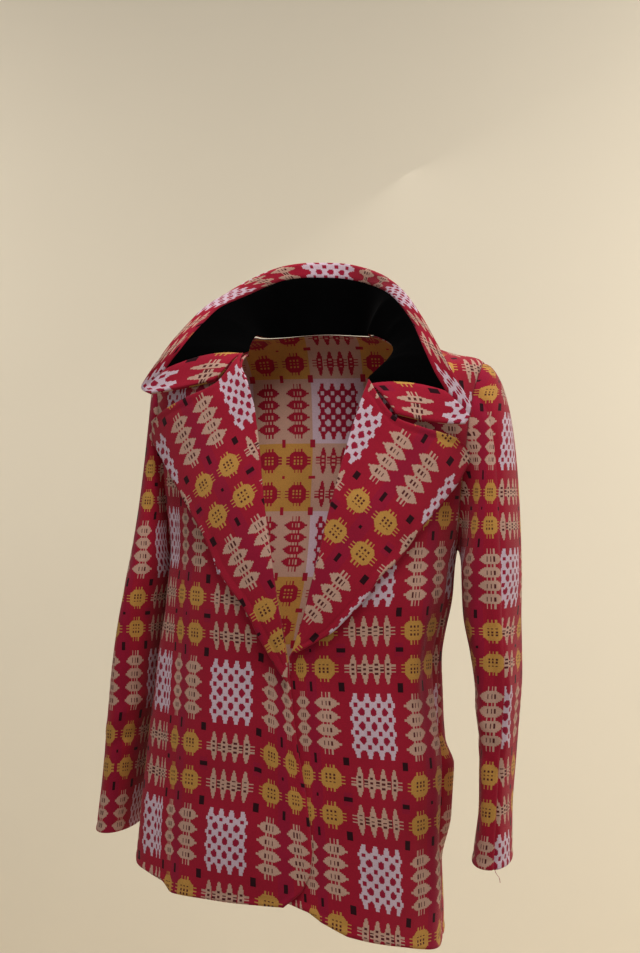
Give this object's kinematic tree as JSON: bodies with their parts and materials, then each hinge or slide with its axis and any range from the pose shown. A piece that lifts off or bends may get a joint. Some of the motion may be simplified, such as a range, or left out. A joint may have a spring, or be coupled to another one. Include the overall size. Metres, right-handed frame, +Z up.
{
  "type": "wool tapestry jacket",
  "caption": "Hip-length jacket of double-woven wool with wide notched lapels, a raised velvet-inlaid collar, set-in sleeves and an open front.",
  "frame": {"origin": "centre of the base of the wearer's neck, at the height where the shoulders carry the jacket", "axes": "+Z up, the front faces -Y, the wearer's left is +X"},
  "size_m": [0.5207, 0.275, 0.8085],
  "materials": {
    "tapestry_cloth": "matt double-woven wool",
    "tapestry_band": "matt double-woven wool",
    "velvet": "black cotton velvet"
  },
  "bodies": {
    "root": {"right_front": "tapestry_cloth", "left_front": "tapestry_cloth", "back": "tapestry_cloth", "right_sleeve": "tapestry_cloth", "left_sleeve": "tapestry_cloth", "right_lapel": "tapestry_cloth", "left_lapel": "tapestry_cloth", "under_collar": "tapestry_cloth", "collar_band_outer": "tapestry_band", "collar_band_right": "tapestry_band", "collar_band_left": "tapestry_band", "collar_velvet": "velvet"}
  },
  "joints": []
}
